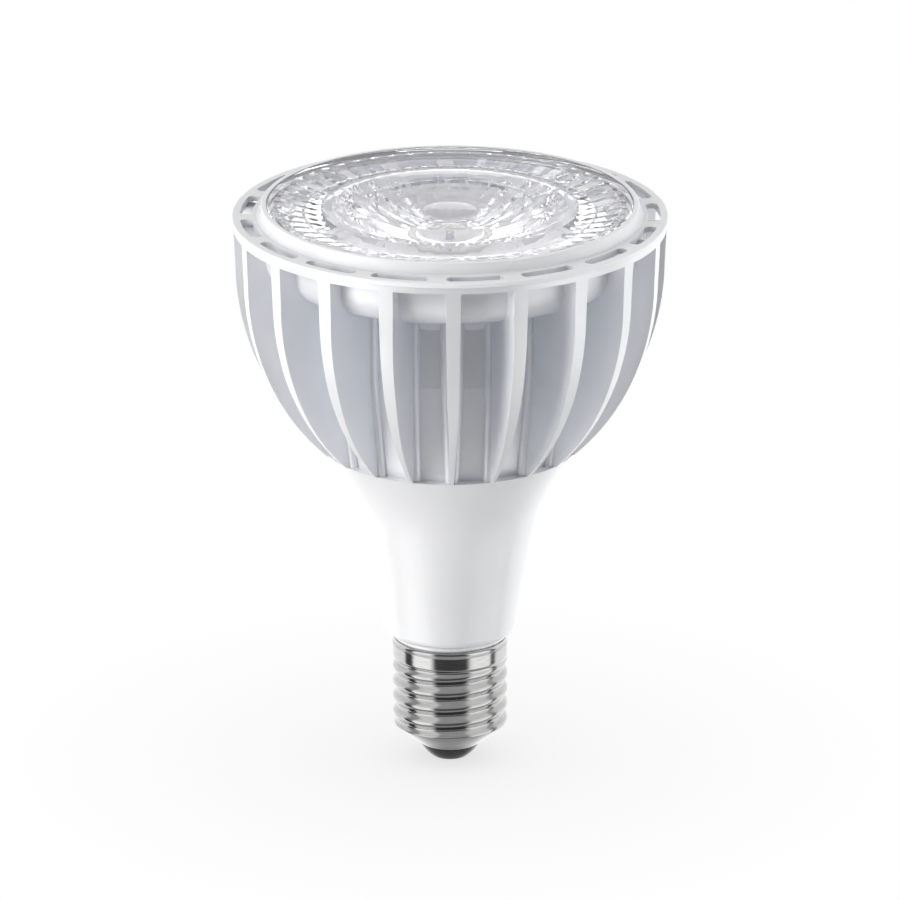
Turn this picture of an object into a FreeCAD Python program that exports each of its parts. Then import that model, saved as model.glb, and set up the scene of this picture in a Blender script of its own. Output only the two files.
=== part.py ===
import FreeCAD, Part
import math
import os
import re
import Sketcher
from FreeCAD import Placement, Rotation, Vector

# Reflector spot lamp with a ribbed die-cast bowl, a long plastic neck and an
# Edison screw cap. Millimetres. Z runs along the lamp's axis: 0 is the tip of
# the centre contact and the light leaves along +Z. The front of the lamp is -Y.

os.makedirs("parts", exist_ok=True)
doc = FreeCAD.newDocument("par_spot_bulb")
sheet = doc.addObject("Spreadsheet::Sheet", "Sizes")

# Each size has a name, a value or a formula of other sizes, and a meaning.
SIZES = [
    # screw cap
    ("cap_major_d", 26.2, "outer diameter over the thread's crests"),
    ("thread_pitch", 3.629, "7 turns to the inch"),
    ("thread_depth", 0.95, "crest to root, on the radius"),
    ("crest_share", 0.28, "flat of a crest, as a share of the pitch"),
    ("ridge_share", 0.88, "foot of a ridge, as a share of the pitch"),
    ("sheet_t", 0.3, "wall of the nickel-plated cap"),
    ("thread_h", 16.3, "threaded height"),
    ("thread_lead", 2.52, "the thread starts this far below its height"),
    ("run_out", 2.6, "the ridge dies out over this height"),
    ("ridge_over", 0.3, "the ridge ends this far past its height, as a share of the pitch"),
    ("band_h", 4.8, "plain band above the thread, with its lip"),
    ("band_slope", 0.7, "half the height of the slope into the band"),
    ("lip_h", 1.5, "rolled lip at the top of the band"),
    ("lip_dip", 0.3, "how far the lip's cove goes in"),
    ("lip_in", 0.1, "the lip's edge lies this far inside the band"),
    ("cone_h", 4.7, "height of the cap's end cone"),
    ("cap_end_r", 6.8, "radius where the end cone meets the insulator"),
    ("insulator_h", 3.15, "insulator below the end cone"),
    ("insulator_end_r", 4.2, "radius of the insulator's end"),
    ("insulator_curve", 9.0, "radius of the insulator's rounded side"),
    ("insulator_in_h", 3.2, "insulator inside the end cone"),
    ("button_r", 3.7, "centre contact"),
    ("button_flat_r", 2.5, "flat end of the contact"),
    ("button_h", 0.45, "how far the contact stands out"),
    ("stem_r", 2.1, "contact's stem in the insulator"),
    ("stem_out", 0.6, "stem above the insulator, for its lead"),
    ("seat_clear", 0.05, "clearance of parts moulded or pressed together"),
    ("cap_r", "cap_major_d / 2", "radius over the crests and of the plain band"),
    ("root_r", "cap_r - thread_depth", "radius of the thread's root"),
    ("z_cone", "button_h + insulator_h", "foot of the end cone"),
    ("z_thread", "z_cone + cone_h", "foot of the thread"),
    ("z_band", "z_thread + thread_h", "foot of the plain band"),
    ("z_rim", "z_band + band_h", "top of the cap"),
    ("z_stem", "z_cone + insulator_in_h + stem_out", "top of the contact's stem"),
    # neck housing
    ("neck_gap", 0.4, "shadow gap between cap and neck"),
    ("step_h", 0.8, "thin step at the neck's foot"),
    ("step_in", 0.1, "that step lies this far inside the cap's band"),
    ("neck_h", 44.9, "neck from its rounded foot to the heat sink"),
    ("foot_round", 2.3, "rounding of the neck's foot"),
    ("waist_r", 20.0, "neck at its waist"),
    ("waist_h", 27.0, "waist above the neck's foot"),
    ("flare_r", 21.97, "neck part way up its flare"),
    ("flare_h", 33.0, "that point above the neck's foot"),
    ("neck_top_r", 28.9, "neck under the heat sink"),
    ("waist_curve", 262.0, "radius of the curve below the waist"),
    ("flare_curve", 31.0, "radius of the curve above the waist"),
    ("mouth_curve", 75.0, "radius of the curve at the neck's top"),
    ("neck_wall", 2.0, "wall of the neck"),
    ("plug_h", 6.0, "neck's plug inside the heat sink"),
    ("plug_step", 4.6, "step between the neck's top and that plug"),
    ("fit_clear", 0.1, "clearance of parts pushed into each other"),
    ("boss_r", 3.2, "screw pillars of the neck"),
    ("boss_in", 4.8, "circle of the pillars inside the plug"),
    ("boss_count", 3, "screw pillars"),
    ("boss_depth", 6.0, "pillars below the neck's top"),
    ("neck_thick", 0.4, "the wall is this much thicker in the flare"),
    ("cap_plug_h", 17.3, "neck's plug inside the cap, below the neck's foot"),
    ("cap_plug_bore_r", 10.0, "bore of that plug"),
    ("z_neck", "z_rim + neck_gap + step_h", "foot of the neck"),
    ("z_sink", "z_neck + neck_h", "top of the neck, foot of the heat sink"),
    ("z_cap_plug", "z_neck - cap_plug_h", "end of the neck's plug in the cap"),
    ("step_r", "cap_r - step_in", "radius of the thin step"),
    ("neck_foot_r", "step_r + foot_round", "neck just above its rounded foot"),
    ("plug_r", "neck_top_r - plug_step", "radius of the plug in the heat sink"),
    ("boss_ring_r", "plug_r - boss_in", "circle of the pillars"),
    # front ring, outward in
    ("flange_d", 98.0, "diameter of the lamp at its front"),
    ("flange_t", 1.2, "flange of the front ring"),
    ("edge_round", 0.35, "rounding of the flange's edge"),
    ("slot_count", 17, "slots in the flange"),
    ("slot_phase", 1.87, "turn of the first slot from +X, degrees"),
    ("slot_rim", 1.8, "flange outside the slots"),
    ("slot_wide", 2.8, "slots, on the radius"),
    ("slot_half", 7.2, "half the slot's angle between its round ends"),
    ("slot_land", 1.3, "flange between the slots and the collar"),
    ("collar_h", 2.7, "collar above the flange"),
    ("collar_lean", 0.6, "the collar's outside leans in by this"),
    ("collar_t", 1.2, "top of the collar"),
    ("collar_round", 0.4, "rounding at the collar's foot and top"),
    ("spigot_h", 3.3, "ring's spigot inside the heat sink"),
    ("flange_r", "flange_d / 2", "radius of the flange"),
    ("slot_out_r", "flange_r - slot_rim", "outer side of the slots"),
    ("slot_in_r", "slot_out_r - slot_wide", "inner side of the slots"),
    ("slot_end_r", "slot_wide * 0.57", "rounding of the slot's ends"),
    ("collar_r", "slot_in_r - slot_land", "foot of the raised collar"),
    ("collar_top_r", "collar_r - collar_lean", "top of the collar, outside"),
    ("collar_in_r", "collar_top_r - collar_t", "collar, inside"),
    # heat sink
    ("sink_h", 52.9, "heat sink"),
    ("fin_count", 20, "fins"),
    ("fin_phase", -8.06, "turn of the first channel from +X, degrees"),
    ("fin_inset", 0.4, "top of the fins inside the flange's edge"),
    ("belly_in", 0.4, "the bowl's curve starts this far inside the top"),
    ("belly_drop", 9.8, "start of the curve below the top"),
    ("fin_foot_out", 0.4, "foot of the fins outside the neck"),
    ("bowl_curve", 59.0, "radius of the bowl's outline"),
    ("fin_tip_t", 2.5, "fin at the bowl's outline, by the bend in the core"),
    ("fin_root_t", 2.8, "fin at the core"),
    ("channel_draft", 0.9, "draft of a channel's sides, degrees"),
    ("channel_over", 1.1, "a channel is cut past the flange and the bowl's foot by this factor"),
    ("hoop_t", 1.0, "hoop that joins the fins at the top"),
    ("hoop_h", 1.4, "height of that hoop"),
    ("fin_drop", 1.0, "fins inside the hoop start this far down"),
    ("cup_in", 4.6, "outside of the lens's cup inside the fins' top"),
    ("cup_wall", 1.2, "wall of the cup beside the lens"),
    ("cup_straight", 4.5, "straight side of the cup"),
    ("cup_root_share", 0.42, "hollow part of the curve from core to cup"),
    ("core_out", 2.4, "core behind the fins, outside the neck's top"),
    ("core_foot_in", 1.9, "core at its foot, inside the neck's top"),
    ("bend_h", 23.5, "the core leans inward below this height"),
    ("root_round", 1.4, "rounding of a channel's corners"),
    ("ledge_depth", 5.0, "ledge for the lens below the top"),
    ("ledge_w", 2.6, "width of that ledge"),
    ("floor_depth", 6.8, "floor under the lens's outer zone"),
    ("core_wall", 2.8, "core's wall at the mouth of the inner well"),
    ("well_taper", 4.5, "the well narrows by this, on the radius"),
    ("well_depth", 25.8, "seat of the light source below the top"),
    ("plate_t", 5.0, "plate between light source and driver"),
    ("cavity_wall", 3.7, "core's wall round the driver space, under the plate"),
    ("cavity_out", 0.7, "driver space outside the neck's plug"),
    ("plug_room", 0.2, "room above the neck's plug"),
    ("fin_top_r", "flange_r - fin_inset", "radius at the top of the fins"),
    ("fin_belly_r", "fin_top_r - belly_in", "radius where the bowl's curve starts"),
    ("fin_foot_r", "neck_top_r + fin_foot_out", "radius at the foot of the fins"),
    ("core_r", "neck_top_r + core_out", "core behind the fins"),
    ("core_foot_r", "neck_top_r - core_foot_in", "core at the foot of the heat sink"),
    ("cup_r", "fin_top_r - cup_in", "outside of the cup that holds the lens"),
    ("cup_curve", "cup_r - core_r", "height of the curve from core to cup"),
    ("cup_root", "cup_curve * cup_root_share", "hollow part of that curve"),
    ("cup_round", "cup_curve - cup_root", "round underside of the cup"),
    ("lens_bore_r", "cup_r - cup_wall", "bore for the ring and the lens"),
    ("ledge_r", "lens_bore_r - ledge_w", "inner edge of the ledge"),
    ("well_top_r", "core_r - core_wall", "mouth of the inner well"),
    ("well_foot_r", "well_top_r - well_taper", "foot of the inner well"),
    ("cavity_top_r", "core_r - cavity_wall", "driver space under the plate"),
    ("cavity_foot_r", "plug_r + cavity_out", "driver space above the neck's plug"),
    ("socket_r", "plug_r + fit_clear", "socket for the neck's plug"),
    ("z_under", "z_sink + sink_h", "top of the heat sink, under the ring"),
    ("z_bend", "z_sink + bend_h", "bend in the core"),
    ("z_cup_foot", "z_under - cup_straight - cup_curve", "where the cup leaves the core"),
    ("z_ledge", "z_under - ledge_depth", "ledge for the lens"),
    ("z_floor", "z_under - floor_depth", "floor under the lens's outer zone"),
    ("z_seat", "z_under - well_depth", "seat of the light source"),
    ("z_plate", "z_seat - plate_t", "underside of that plate"),
    ("z_front", "z_under + flange_t", "front face of the flange"),
    ("z_collar", "z_front + collar_h", "front of the collar"),
    ("z_spigot", "z_under - spigot_h", "end of the ring's spigot"),
    ("spigot_r", "lens_bore_r - fit_clear", "outside of the spigot"),
    # lens
    ("lens_clear", 0.2, "gap between lens and ring"),
    ("lens_sunk", 0.05, "lens below the collar's top"),
    ("lens_plate_t", 2.6, "front plate of the lens"),
    ("lens_rim_t", 1.3, "rim wall of the lens"),
    ("lens_edge", 0.3, "bevel at the lens's front edge"),
    ("dish_r", 18.5, "round dish in the middle of the front"),
    ("dish_depth", 1.7, "its depth"),
    ("dish_curve", 30.0, "radius of its hollow side"),
    ("dish_ring_r", 11.8, "low step in the dish"),
    ("dish_ring_h", 0.4, "height of that step"),
    ("dish_floor_rise", 0.6, "the dish rises by this from bull's eye to step"),
    ("eye_r", 6.4, "bull's eye in the dish"),
    ("eye_h", 1.0, "height of the bull's eye"),
    ("prism_sides", 36, "facets of the outer prism"),
    ("prism_inset", 2.5, "outer prism inside the lens's edge"),
    ("prism_slope", 5.2, "outer prism, plate to tip on the radius"),
    ("prism_hollow", 4.4, "inner side of that prism, tip to plate"),
    ("prism_tip_t", 0.6, "flat tip of the prism"),
    ("prism_h", 4.2, "height of that prism"),
    ("tir_sides", 24, "facets of the central cone"),
    ("tir_gap", 2.6, "plate between the prism and the central cone"),
    ("tir_foot_share", 0.63, "central cone at its foot, by the holder's radius"),
    ("tir_overlap", 0.2, "prism and cone start inside the plate"),
    ("tir_mid", 0.34, "upper bend in the cone's side, as a share of its height and lean"),
    ("tir_low", 0.7, "lower bend in the cone's side, as a share of its height"),
    ("tir_low_in", 0.69, "that bend, as a share of its lean"),
    ("lens_foot_gap", 0.4, "central cone above the holder"),
    ("bore_share", 0.48, "bore over the light source, by the holder's radius"),
    ("bore_flare", 0.5, "the bore widens by this at its mouth"),
    ("bore_h", 12.5, "depth of that bore"),
    ("bore_dome", 9.5, "radius of the dome that closes it"),
    ("eye_curve", "(eye_r ^ 2 + eye_h ^ 2) / (2 * eye_h)", "radius of the bull's eye"),
    ("lens_r", "collar_in_r - lens_clear", "lens inside the collar"),
    ("lens_flange_r", "lens_bore_r - lens_clear", "lens on its ledge"),
    ("lens_wall_r", "lens_r - lens_rim_t", "inside of the rim wall"),
    ("prism_out_r", "lens_r - prism_inset", "outer prism at the plate"),
    ("prism_tip_r", "prism_out_r - prism_slope", "outer prism at its tip"),
    ("prism_in_r", "prism_tip_r - prism_hollow", "inner side of the prism"),
    ("tir_top_r", "prism_in_r - tir_gap", "central cone at the plate"),
    ("tir_foot_r", "holder_r * tir_foot_share", "central cone at its foot"),
    ("bore_r", "holder_r * bore_share", "bore over the light source"),
    ("z_lens", "z_collar - lens_sunk", "front of the lens"),
    ("z_lens_back", "z_lens - lens_plate_t", "back of the front plate"),
    ("z_prism", "z_lens_back - prism_h", "tip of the outer prism"),
    # light source
    ("pad_t", 0.3, "thermal pad"),
    ("cob_share", 1.13, "side of the square source plate, by the holder's radius"),
    ("cob_t", 1.0, "its thickness"),
    ("phosphor_share", 0.39, "lit disc, by the holder's radius"),
    ("phosphor_t", 0.8, "its height"),
    ("holder_gap", 1.7, "source holder inside the heads of the long screws"),
    ("holder_h", 3.0, "its height"),
    ("opening_share", 0.49, "its opening, by its radius"),
    ("holder_edge", 1.0, "bevel of its rim"),
    ("holder_funnel", 1.2, "bevel of its opening"),
    ("screw_ring_share", 0.84, "circle of its two screws, by its radius"),
    ("small_screw_share", 0.08, "those screws, by its radius"),
    ("small_head_share", 0.127, "their heads, by its radius"),
    ("holder_screws", 2, "screws of the holder"),
    ("holder_r", "boss_ring_r - screw_head_r - holder_gap", "source holder"),
    ("cob_side", "holder_r * cob_share", "side of the source plate"),
    ("phosphor_r", "holder_r * phosphor_share", "lit disc"),
    ("holder_open_r", "holder_r * opening_share", "the holder's opening"),
    ("holder_screw_r", "holder_r * screw_ring_share", "circle of its two screws"),
    ("small_screw_r", "holder_r * small_screw_share", "screws of the holder"),
    ("small_head_r", "holder_r * small_head_share", "their heads"),
    ("z_holder", "z_seat + holder_h", "top of the holder"),
    ("z_lens_foot", "z_holder + lens_foot_gap", "foot of the central cone"),
    # screws
    ("screw_r", 1.45, "long screws into the neck"),
    ("screw_head_r", 2.8, "their heads"),
    ("screw_head_h", 1.9, "height of those heads"),
    ("screw_len", 13.0, "their length under the head"),
    ("small_head_h", 1.4, "height of the heads of the holder's screws"),
    ("small_screw_len", 6.6, "their length under the head"),
    ("screw_clear", 0.05, "clearance of a screw in its hole"),
    ("screw_room", 0.4, "hole beyond a small screw's end"),
    ("boss_room", 1.0, "hole beyond a long screw's end"),
    # driver board and its rails
    ("board_t", 1.6, "circuit board"),
    ("board_half", 12.0, "half width of its lower part"),
    ("board_inset", 4.3, "board inside the neck's plug"),
    ("board_step_h", 31.0, "height of the lower part"),
    ("board_slant", 5.0, "height of the slant between the two widths"),
    ("board_lift", 4.0, "board above the neck's foot"),
    ("board_gap", 5.6, "board below the plate"),
    ("rail_depth", 1.2, "how far a rail holds the board"),
    ("rail_half", 2.5, "half width of a rail"),
    ("rail_foot", 1.5, "rail above the neck's foot"),
    ("rail_h", 18.0, "height of a rail"),
    ("rail_lift", 2.0, "the neck's inside and the rails' run start this far up"),
    ("slot_over", 3.0, "the board's slot goes this far past the rails' height"),
    ("wire_r", 0.6, "insulated leads"),
    ("wire_bend", 1.3, "bend radius of the leads"),
    ("lead_in", 1.2, "leads to the light source inside the board's edge"),
    ("lead_hole_r", 1.2, "holes for those leads"),
    ("lead_drop", 3.0, "those leads start below the board's top"),
    ("lead_rise", 1.7, "those leads above the light source's seat"),
    ("mains_x", 8.0, "neutral lead from the axis"),
    ("mains_h", 3.0, "mains leads above the board's foot"),
    ("mains_drop", 2.0, "neutral lead below the neck's plug"),
    ("mains_end", 0.2, "neutral lead's end short of the cap"),
    ("board_wide", "plug_r - neck_wall - board_inset", "half width of the board's upper part"),
    ("lead_x", "board_wide - lead_in", "leads to the light source from the axis"),
    ("z_board", "z_neck + board_lift", "foot of the board"),
    ("z_board_top", "z_plate - board_gap", "top of the board"),
    ("face_y", "board_t / 2", "component side of the board"),
    ("lead_y", "face_y + wire_r", "leads that lie on the board"),
    # driver components: sizes, then places from the board's foot and the axis
    ("core_w", 16.0, "transformer core"),
    ("core_h", 14.0, "its height"),
    ("core_limb", 3.0, "its outer limbs"),
    ("core_leg", 4.0, "its middle leg"),
    ("core_window", 6.0, "depth of its windows"),
    ("core_z", 34.0, "its place"),
    ("coil_clear", 0.05, "clearance of the winding in the core"),
    ("coil_over", 1.5, "winding past the core's ends"),
    ("input_can_r", 5.0, "large capacitor"),
    ("input_can_h", 16.0, "its height"),
    ("input_can_z", 5.0, "its place"),
    ("output_can_r", 4.0, "small capacitor"),
    ("output_can_h", 12.0, "its height"),
    ("output_can_side", 5.0, "its place inside the board's left edge"),
    ("output_can_z", 38.0, "its place"),
    ("film_w", 10.0, "film capacitor"),
    ("film_t", 5.0, "its depth"),
    ("film_h", 9.0, "its height"),
    ("film_side", 6.0, "its place inside the board's right edge"),
    ("film_z", 39.0, "its place"),
    ("choke_r", 4.0, "line choke"),
    ("choke_h", 9.0, "its height"),
    ("choke_x", 5.0, "its place"),
    ("fuse_r", 1.6, "fuse resistor"),
    ("fuse_h", 7.0, "its height"),
    ("fuse_x", 6.0, "its place on the left"),
    ("low_z", 6.0, "place of choke and fuse resistor"),
    ("varistor_r", 5.0, "varistor disc"),
    ("varistor_t", 3.0, "its thickness"),
    ("varistor_x", 3.0, "its place on the left"),
    ("varistor_z", 21.0, "its place"),
    ("bridge_w", 4.7, "rectifier"),
    ("bridge_t", 2.5, "its depth"),
    ("bridge_h", 3.9, "its height"),
    ("bridge_z", 25.0, "its place"),
    ("chip_w", 4.0, "control chip"),
    ("chip_t", 1.4, "its thickness"),
    ("chip_h", 5.0, "its height"),
    ("chip_x", 5.0, "its place"),
    ("chip_z", 24.0, "its place"),
    ("leg_reach", 0.9, "its legs beside the case"),
    ("leg_t", 0.3, "thickness of a row of legs"),
    ("leg_in", 0.1, "legs inside the case"),
    ("leg_h", 4.4, "height of a row of legs"),
    ("stand_off", 0.05, "components stand off the board by this"),
    ("output_can_x", "board_wide - output_can_side - output_can_r", "small capacitor"),
    ("film_x", "board_wide - film_side - film_w", "film capacitor"),
]

NAMES = {row[0] for row in SIZES}


def bind(text):
    """A formula as FreeCAD reads it outside the sheet."""
    def name_of(found):
        word = found.group(0)
        return "Sizes." + word if word in NAMES else word

    return re.sub(r"[a-z][a-z_0-9]*", name_of, str(text))


def value(text):
    """The number that a formula of sizes gives."""
    result = sheet.evalExpression(bind(text))
    return float(getattr(result, "Value", result))


for row, (alias, content, meaning) in enumerate(SIZES, start=1):
    sheet.set("A%d" % row, alias)
    sheet.set("B%d" % row, "=" + content if isinstance(content, str) else repr(content))
    sheet.set("C%d" % row, meaning)
    sheet.setAlias("B%d" % row, alias)
doc.recompute()


def body_of(label):
    body = doc.addObject("PartDesign::Body", label)
    body.Label = label
    return body


def origin(body, role):
    return next(item for item in body.Origin.OriginFeatures if item.Role == role)


def sketch_on(body, name, plane="XZ_Plane", height=None, turn=None):
    """A sketch on one of the body's own planes, lifted and turned by sizes."""
    sketch = body.newObject("Sketcher::SketchObject", name)
    sketch.AttachmentSupport = [(origin(body, plane), "")]
    sketch.MapMode = "FlatFace"
    if height is not None:
        sketch.setExpression(".AttachmentOffset.Base.z", bind(height))
    if turn is not None:
        sketch.setExpression(".AttachmentOffset.Rotation.Angle", bind(turn))
    return sketch


def pin(sketch, geo, pos, x, y):
    """Ties one point of the sketch to two formulas."""
    for kind, formula, axis in (("DistanceX", x, -2), ("DistanceY", y, -1)):
        number = value(formula)
        if str(formula) == "0":
            sketch.addConstraint(Sketcher.Constraint("PointOnObject", geo, pos, axis))
            continue
        index = sketch.addConstraint(Sketcher.Constraint(kind, geo, pos, number))
        if re.search("[a-z]", str(formula)):
            sketch.setExpression("Constraints[%d]" % index, bind(formula))


def outline(sketch, points, arcs=None):
    """A closed outline. Each point is a pair of formulas. An arc replaces the
    edge that starts at its point: its radius, and +1 where it bulges to the
    left of that edge or -1 to the right."""
    arcs = arcs or {}
    spots = [Vector(value(x), value(y), 0) for x, y in points]
    count = len(points)
    first = sketch.GeometryCount
    edges = []
    ends = []
    for index in range(count):
        start = spots[index]
        end = spots[(index + 1) % count]
        if index not in arcs:
            edges.append(Part.LineSegment(start, end))
            ends.append((1, 2))
            continue
        radius = value(arcs[index][0])
        side = arcs[index][1]
        chord = end - start
        left = Vector(-chord.y, chord.x, 0) / chord.Length
        rise = math.sqrt(max(radius ** 2 - chord.Length ** 2 / 4, 0.0))
        centre = (start + end) * 0.5 - left * rise * side
        if side < 0:
            head, tail = start, end
            ends.append((1, 2))
        else:
            head, tail = end, start
            ends.append((2, 1))
        low = math.atan2(head.y - centre.y, head.x - centre.x)
        high = math.atan2(tail.y - centre.y, tail.x - centre.x)
        if high <= low:
            high += 2 * math.pi
        circle = Part.Circle(centre, Vector(0, 0, 1), radius)
        edges.append(Part.ArcOfCircle(circle, low, high))
    sketch.addGeometry(edges, False)
    for index in range(count):
        after = (index + 1) % count
        end = (first + index, ends[index][1])
        start = (first + after, ends[after][0])
        sketch.addConstraint(Sketcher.Constraint("Coincident", *end, *start))
    for index, (x, y) in enumerate(points):
        pin(sketch, first + index, ends[index][0], x, y)
    for index, (radius, side) in arcs.items():
        place = sketch.addConstraint(Sketcher.Constraint("Radius", first + index, value(radius)))
        sketch.setExpression("Constraints[%d]" % place, bind(radius))
    return sketch


def ring_hole(sketch, x, y, radius):
    """A circle whose centre and radius are formulas."""
    circle = Part.Circle(Vector(value(x), value(y), 0), Vector(0, 0, 1), value(radius))
    geo = sketch.addGeometry(circle, False)
    pin(sketch, geo, 3, x, y)
    place = sketch.addConstraint(Sketcher.Constraint("Radius", geo, value(radius)))
    sketch.setExpression("Constraints[%d]" % place, bind(radius))


def turned(body, name, points, arcs=None, cut=False):
    """A solid of revolution about Z, added to the body or cut from it."""
    sketch = outline(sketch_on(body, name + "_outline"), points, arcs)
    kind = "PartDesign::Groove" if cut else "PartDesign::Revolution"
    feature = body.newObject(kind, name)
    feature.Profile = (sketch, [""])
    feature.ReferenceAxis = (sketch, ["V_Axis"])
    feature.Angle = 360.0
    doc.recompute()
    return feature


def raised(body, name, sketch, length, cut=False, down=False):
    """A pad or pocket of a sketch. A pad goes along the sketch's normal, and a
    pocket too, unless it goes down."""
    feature = body.newObject("PartDesign::Pocket" if cut else "PartDesign::Pad", name)
    feature.Profile = (sketch, [""])
    feature.setExpression("Length", bind(length))
    feature.Reversed = (cut and not down) or (down and not cut)
    doc.recompute()
    return feature


def around(body, name, feature, count):
    """Repeats a feature round the Z axis."""
    pattern = body.newObject("PartDesign::PolarPattern", name)
    pattern.Originals = [feature]
    pattern.Axis = (origin(body, "Z_Axis"), [""])
    pattern.Angle = 360.0
    pattern.setExpression("Occurrences", bind(count))
    body.Tip = pattern
    doc.recompute()
    return pattern


def ruled_loft(body, name, sketches):
    """Flat facets from one outline to the next."""
    feature = body.newObject("PartDesign::AdditiveLoft", name)
    feature.Profile = (sketches[0], [""])
    feature.Sections = [(item, [""]) for item in sketches[1:]]
    feature.Ruled = True
    doc.recompute()
    return feature


def box(label, size, place):
    """A block, placed by its low corner."""
    item = doc.addObject("Part::Box", label)
    item.Label = label
    for key, formula in zip(("Length", "Width", "Height"), size):
        item.setExpression(key, bind(formula))
    for key, formula in zip("xyz", place):
        item.setExpression(".Placement.Base." + key, bind(formula))
    doc.recompute()
    return item


def rod(label, radius, height, place, axis="z"):
    """A cylinder from its foot, along one of the axes."""
    item = doc.addObject("Part::Cylinder", label)
    item.Label = label
    item.setExpression("Radius", bind(radius))
    item.setExpression("Height", bind(height))
    if axis == "x":
        item.Placement = Placement(Vector(), Rotation(Vector(0, 1, 0), 90))
    if axis == "y":
        item.Placement = Placement(Vector(), Rotation(Vector(1, 0, 0), -90))
    for key, formula in zip("xyz", place):
        item.setExpression(".Placement.Base." + key, bind(formula))
    doc.recompute()
    return item


def joined(label, items):
    item = doc.addObject("Part::MultiFuse", label)
    item.Label = label
    item.Shapes = items
    doc.recompute()
    return item


def lead(label, runs, y):
    """An insulated lead: a round section swept along straight runs that are
    joined by tangent arcs. It lies in the plane y and starts upright."""
    body = body_of(label)
    path = sketch_on(body, label + "_path", "XZ_Plane", "-(%s)" % y)
    spots = [Vector(value(x), value(z), 0) for x, z in runs]
    bend = value("wire_bend")
    cursor = spots[0]
    for before, corner, after in zip(spots, spots[1:], spots[2:]):
        back = (before - corner).normalize()
        ahead = (after - corner).normalize()
        half = back.getAngle(ahead) / 2
        enter = corner + back * (bend / math.tan(half))
        leave = corner + ahead * (bend / math.tan(half))
        middle = corner + (back + ahead).normalize() * (bend / math.sin(half) - bend)
        path.addGeometry(Part.LineSegment(cursor, enter), False)
        path.addGeometry(Part.Arc(enter, middle, leave), False)
        cursor = leave
    path.addGeometry(Part.LineSegment(cursor, spots[-1]), False)
    section = sketch_on(body, label + "_section", "XY_Plane", runs[0][1])
    ring_hole(section, runs[0][0], y, "wire_r")
    doc.recompute()
    pipe = body.newObject("PartDesign::AdditivePipe", label + "_run")
    pipe.Profile = (section, [""])
    pipe.Spine = (path, ["Edge%d" % (k + 1) for k in range(path.GeometryCount)])
    doc.recompute()
    return body


def front_ring():
    """Flat flange with slots, raised collar, and a spigot pushed into the cup."""
    body = body_of("front_ring")
    turned(body, "ring_form", [
        ("collar_in_r", "z_spigot"),
        ("spigot_r", "z_spigot"),
        ("spigot_r", "z_under"),
        ("flange_r - edge_round", "z_under"),
        ("flange_r", "z_under + edge_round"),
        ("flange_r", "z_front - edge_round"),
        ("flange_r - edge_round", "z_front"),
        ("collar_r + collar_round", "z_front"),
        ("collar_r", "z_front + collar_round"),
        ("collar_top_r", "z_collar - collar_round"),
        ("collar_top_r - collar_round", "z_collar"),
        ("collar_in_r", "z_collar"),
    ], {
        3: ("edge_round", -1),
        5: ("edge_round", -1),
        7: ("collar_round", 1),
        9: ("collar_round", -1),
    })
    sketch = sketch_on(body, "slot_outline", "XY_Plane", "z_under", "slot_phase")
    outline(sketch, [
        ("slot_in_r * cos(slot_half)", "-slot_in_r * sin(slot_half)"),
        ("slot_out_r * cos(slot_half)", "-slot_out_r * sin(slot_half)"),
        ("slot_out_r * cos(slot_half)", "slot_out_r * sin(slot_half)"),
        ("slot_in_r * cos(slot_half)", "slot_in_r * sin(slot_half)"),
    ], {
        0: ("slot_end_r", -1),
        1: ("slot_out_r", -1),
        2: ("slot_end_r", -1),
        3: ("slot_in_r", 1),
    })
    slot = raised(body, "slot", sketch, "flange_t", cut=True)
    around(body, "slots", slot, "slot_count")
    return body


def polygon(sketch, radius, sides):
    """A regular polygon whose corners lie on a circle."""
    points = []
    for index in range(int(value(sides))):
        angle = "(360 * %d / %s)" % (index, sides)
        points.append(("%s * cos%s" % (radius, angle), "%s * sin%s" % (radius, angle)))
    return outline(sketch, points)


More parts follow.
